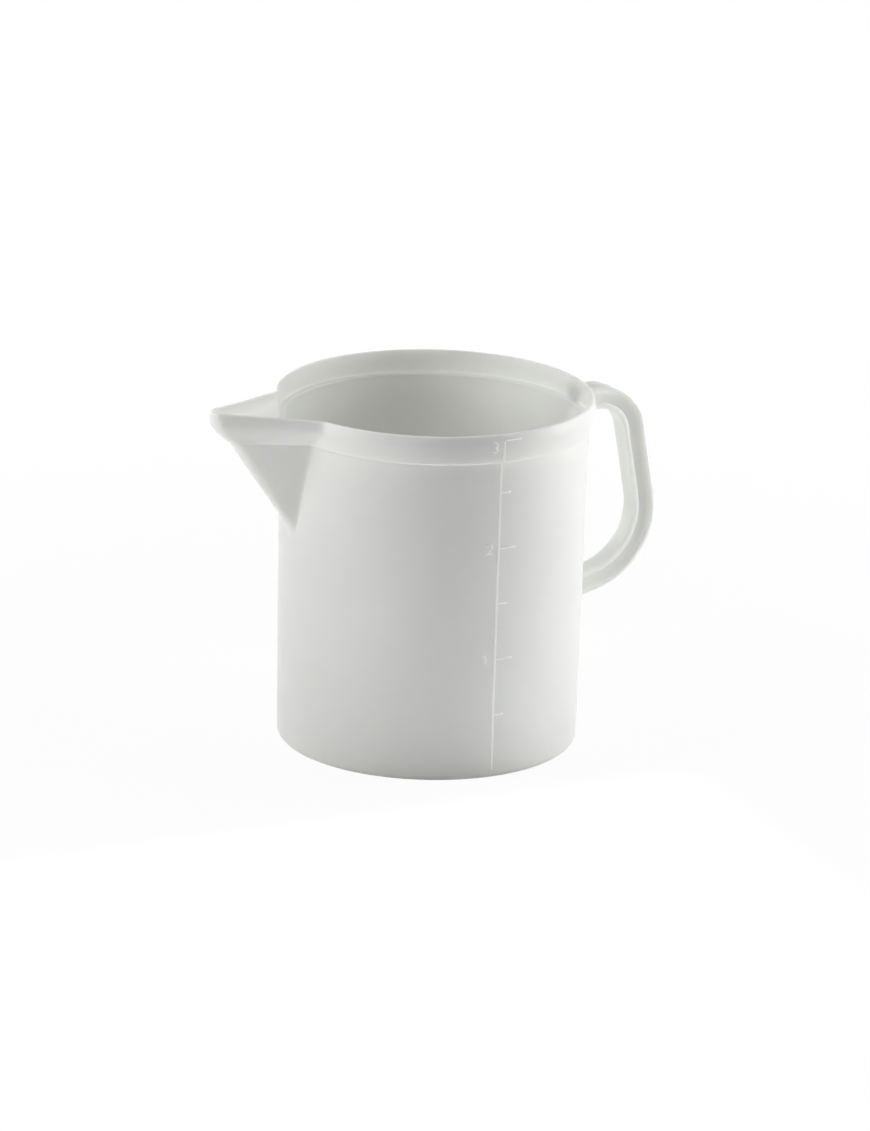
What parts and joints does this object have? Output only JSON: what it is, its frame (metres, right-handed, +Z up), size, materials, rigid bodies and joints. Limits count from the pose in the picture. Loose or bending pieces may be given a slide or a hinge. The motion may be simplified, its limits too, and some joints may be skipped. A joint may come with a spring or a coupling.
{
  "type": "measuring jug",
  "caption": "Handled plastic measuring jug or beaker with a pointed pouring spout, a stepped collar, an I-section handle and a raised litre scale.",
  "frame": {"origin": "centre of the vessel's round base, on the surface that the jug stands on", "axes": "+Z up along the vessel's axis, -X towards the spout, +X towards the handle, -Y towards the side with the scale"},
  "size_m": [0.2448, 0.1614, 0.181],
  "materials": {
    "vessel_polypropylene": "satin",
    "handle_polypropylene": "satin",
    "raised_scale": "satin"
  },
  "bodies": {
    "root": {"foot_ring": "vessel_polypropylene", "half_litre_marks": "raised_scale", "handle_inner_flange": "handle_polypropylene", "handle_outer_flange": "handle_polypropylene", "handle_web": "handle_polypropylene", "litre_marks": "raised_scale", "numeral_1": "raised_scale", "numeral_2": "raised_scale", "numeral_3": "raised_scale", "rim_collar": "vessel_polypropylene", "scale_line": "raised_scale", "spout_body": "vessel_polypropylene", "spout_lip": "vessel_polypropylene", "vessel_floor": "vessel_polypropylene", "vessel_wall": "vessel_polypropylene"}
  },
  "joints": []
}
